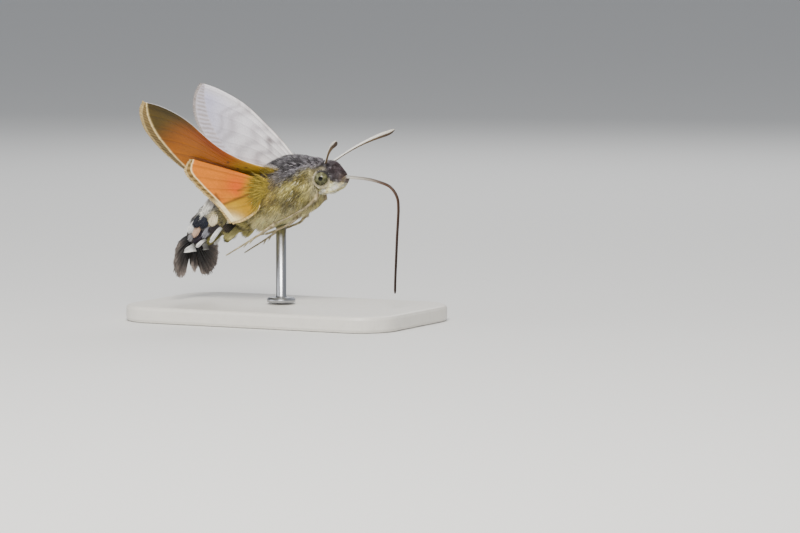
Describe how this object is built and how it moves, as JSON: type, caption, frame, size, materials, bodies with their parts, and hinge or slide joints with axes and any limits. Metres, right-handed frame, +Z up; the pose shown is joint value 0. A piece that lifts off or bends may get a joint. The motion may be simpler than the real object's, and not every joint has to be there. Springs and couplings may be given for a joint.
{
  "type": "hummingbird hawk moth model",
  "caption": "Life-size still model of a hovering hawk moth with raised wings and a hanging proboscis, held from below by a plain rod on a flat base.",
  "frame": {"origin": "the middle of the underside of the stand's base, at the level it stands on", "axes": "+X is the way the moth's head faces, +Y is its left side, +Z is up"},
  "size_m": [0.044, 0.027, 0.0343],
  "materials": {
    "thorax_coat": "dense short coat, grey-brown above and olive-buff below",
    "abdomen_coat": "dense short coat, grey-brown with black, white and ochre side tufts",
    "head_coat": "dense short coat, dark grey-brown with a pale ring behind the eye",
    "palp_coat": "smooth cream-white scales",
    "eye": "glossy olive with black false pupils",
    "antenna": "fine scales, pale above and brown below",
    "proboscis": "smooth dark horn",
    "forewing": "scaled membrane, pale grey above and rusty brown below",
    "hindwing": "scaled membrane, bright orange",
    "tail_fan": "long flat scales, black with grey-brown ends",
    "leg": "fine pale scales",
    "stand_base": "plain satin plastic",
    "stand_rod": "plain satin steel"
  },
  "bodies": {
    "root": {"thorax": "thorax_coat", "abdomen": "abdomen_coat", "head": "head_coat", "tail_fan_left": "tail_fan", "tail_fan_middle": "tail_fan", "tail_fan_right": "tail_fan", "palp_left": "palp_coat", "palp_right": "palp_coat", "eye_left": "eye", "eye_right": "eye", "antenna_left": "antenna", "antenna_right": "antenna", "proboscis_base": "proboscis", "proboscis_bend": "proboscis", "proboscis_tip": "proboscis", "forewing_left": "forewing", "forewing_right": "forewing", "hindwing_left": "hindwing", "hindwing_right": "hindwing", "leg_fore_left": "leg", "leg_fore_right": "leg", "leg_mid_left": "leg", "leg_mid_right": "leg", "leg_hind_left": "leg", "leg_hind_right": "leg", "stand_base": "stand_base", "stand_rod": "stand_rod"}
  },
  "joints": []
}
